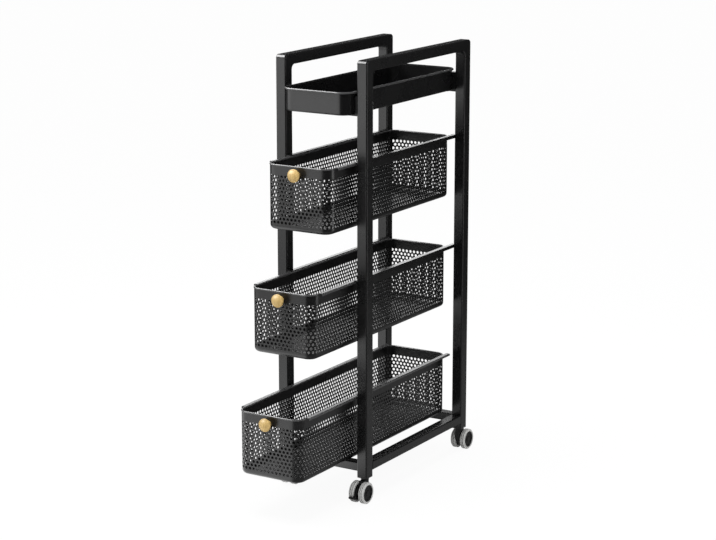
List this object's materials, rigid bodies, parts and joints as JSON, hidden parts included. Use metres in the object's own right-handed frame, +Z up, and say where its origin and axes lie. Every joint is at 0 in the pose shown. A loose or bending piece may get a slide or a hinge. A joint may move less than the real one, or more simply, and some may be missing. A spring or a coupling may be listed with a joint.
{
  "type": "kitchen storage cart",
  "caption": "Slim rolling kitchen cart with a top tray, pull-out perforated baskets with wooden knobs, a tube frame and swivel castors.",
  "frame": {"origin": "on the floor under the middle of the whole cart, with the baskets standing as in the picture", "axes": "+Z is up, +Y runs from the front, where the knobs are, to the back, and +X is to the right as seen from the front"},
  "size_m": [0.2124, 0.629, 0.856],
  "materials": {
    "frame_steel": "satin black powder coat",
    "basket_steel": "satin black powder coat on perforated sheet",
    "knob_wood": "clear satin varnish on pale turned wood",
    "zinc_steel": "bright zinc plate",
    "black_screw": "black oxide",
    "tyre_grey": "matt grey rubber",
    "hub_plastic": "satin black moulding",
    "black_plastic": "satin black moulding"
  },
  "bodies": {
    "frame": {"front_post_left": "frame_steel", "front_post_right": "frame_steel", "rear_post_left": "frame_steel", "rear_post_right": "frame_steel", "top_bar_left": "frame_steel", "bottom_rail_left": "frame_steel", "top_bar_right": "frame_steel", "bottom_rail_right": "frame_steel", "crossbar_front": "frame_steel", "tray_brackets_front": "black_plastic", "crossbar_rear": "frame_steel", "tray_brackets_rear": "black_plastic", "tray": "frame_steel", "tray_rivets": "black_screw", "upper_slide_rail_left": "frame_steel", "upper_slide_rail_right": "frame_steel", "middle_slide_rail_left": "frame_steel", "middle_slide_rail_right": "frame_steel", "rail_end_stops": "black_plastic", "rail_screws": "black_screw", "lower_slide_channel": "frame_steel", "post_plugs": "black_plastic", "castor_stems": "zinc_steel"},
    "upper_drawer": {"upper_basket": "basket_steel", "upper_knob": "knob_wood", "upper_knob_fixing": "zinc_steel"},
    "middle_drawer": {"middle_basket": "basket_steel", "middle_knob": "knob_wood", "middle_knob_fixing": "zinc_steel"},
    "lower_drawer": {"lower_basket": "basket_steel", "lower_knob": "knob_wood", "lower_knob_fixing": "zinc_steel", "lower_basket_runner": "black_plastic"},
    "castor_front_left": {"castor_hood_front_left": "black_plastic", "castor_axle_front_left": "zinc_steel"},
    "wheel_front_left_left": {"castor_hub_front_left_left": "hub_plastic", "castor_tyre_front_left_left": "tyre_grey"},
    "wheel_front_left_right": {"castor_hub_front_left_right": "hub_plastic", "castor_tyre_front_left_right": "tyre_grey"},
    "brake_front_left": {"brake_lever_front_left": "black_plastic"},
    "castor_front_right": {"castor_hood_front_right": "black_plastic", "castor_axle_front_right": "zinc_steel"},
    "wheel_front_right_left": {"castor_hub_front_right_left": "hub_plastic", "castor_tyre_front_right_left": "tyre_grey"},
    "wheel_front_right_right": {"castor_hub_front_right_right": "hub_plastic", "castor_tyre_front_right_right": "tyre_grey"},
    "brake_front_right": {"brake_lever_front_right": "black_plastic"},
    "castor_rear_left": {"castor_hood_rear_left": "black_plastic", "castor_axle_rear_left": "zinc_steel"},
    "wheel_rear_left_left": {"castor_hub_rear_left_left": "hub_plastic", "castor_tyre_rear_left_left": "tyre_grey"},
    "wheel_rear_left_right": {"castor_hub_rear_left_right": "hub_plastic", "castor_tyre_rear_left_right": "tyre_grey"},
    "castor_rear_right": {"castor_hood_rear_right": "black_plastic", "castor_axle_rear_right": "zinc_steel"},
    "wheel_rear_right_left": {"castor_hub_rear_right_left": "hub_plastic", "castor_tyre_rear_right_left": "tyre_grey"},
    "wheel_rear_right_right": {"castor_hub_rear_right_right": "hub_plastic", "castor_tyre_rear_right_right": "tyre_grey"}
  },
  "joints": [
    {"name": "upper_basket_slide", "type": "slide", "parent": "frame", "child": "upper_drawer", "axis": [0, -1, 0], "range_m": [-0.0017, 0.3]},
    {"name": "middle_basket_slide", "type": "slide", "parent": "frame", "child": "middle_drawer", "axis": [0, -1, 0], "range_m": [-0.0117, 0.3]},
    {"name": "lower_basket_slide", "type": "slide", "parent": "frame", "child": "lower_drawer", "axis": [0, -1, 0], "range_m": [-0.014, 0.3]},
    {"name": "castor_swivel_front_left", "type": "hinge", "parent": "frame", "child": "castor_front_left", "pos_m": [-0.09, -0.0965, 0.036], "axis": [0, 0, 1], "continuous": true},
    {"name": "wheel_spin_front_left_left", "type": "hinge", "parent": "castor_front_left", "child": "wheel_front_left_left", "pos_m": [-0.1007, -0.0825, 0.021], "axis": [1, 0, 0], "continuous": true},
    {"name": "wheel_spin_front_left_right", "type": "hinge", "parent": "castor_front_left", "child": "wheel_front_left_right", "pos_m": [-0.0793, -0.0825, 0.021], "axis": [1, 0, 0], "continuous": true},
    {"name": "brake_press_front_left", "type": "hinge", "parent": "castor_front_left", "child": "brake_front_left", "pos_m": [-0.09, -0.0725, 0.028], "axis": [-1, 0, 0], "range_deg": [0, 9]},
    {"name": "castor_swivel_front_right", "type": "hinge", "parent": "frame", "child": "castor_front_right", "pos_m": [0.09, -0.0965, 0.036], "axis": [0, 0, 1], "continuous": true},
    {"name": "wheel_spin_front_right_left", "type": "hinge", "parent": "castor_front_right", "child": "wheel_front_right_left", "pos_m": [0.0793, -0.1105, 0.021], "axis": [1, 0, 0], "continuous": true},
    {"name": "wheel_spin_front_right_right", "type": "hinge", "parent": "castor_front_right", "child": "wheel_front_right_right", "pos_m": [0.1007, -0.1105, 0.021], "axis": [1, 0, 0], "continuous": true},
    {"name": "brake_press_front_right", "type": "hinge", "parent": "castor_front_right", "child": "brake_front_right", "pos_m": [0.09, -0.1205, 0.028], "axis": [1, 0, 0], "range_deg": [0, 9]},
    {"name": "castor_swivel_rear_left", "type": "hinge", "parent": "frame", "child": "castor_rear_left", "pos_m": [-0.09, 0.2795, 0.036], "axis": [0, 0, 1], "continuous": true},
    {"name": "wheel_spin_rear_left_left", "type": "hinge", "parent": "castor_rear_left", "child": "wheel_rear_left_left", "pos_m": [-0.1007, 0.2935, 0.021], "axis": [1, 0, 0], "continuous": true},
    {"name": "wheel_spin_rear_left_right", "type": "hinge", "parent": "castor_rear_left", "child": "wheel_rear_left_right", "pos_m": [-0.0793, 0.2935, 0.021], "axis": [1, 0, 0], "continuous": true},
    {"name": "castor_swivel_rear_right", "type": "hinge", "parent": "frame", "child": "castor_rear_right", "pos_m": [0.09, 0.2795, 0.036], "axis": [0, 0, 1], "continuous": true},
    {"name": "wheel_spin_rear_right_left", "type": "hinge", "parent": "castor_rear_right", "child": "wheel_rear_right_left", "pos_m": [0.0793, 0.2935, 0.021], "axis": [1, 0, 0], "continuous": true},
    {"name": "wheel_spin_rear_right_right", "type": "hinge", "parent": "castor_rear_right", "child": "wheel_rear_right_right", "pos_m": [0.1007, 0.2935, 0.021], "axis": [1, 0, 0], "continuous": true}
  ]
}
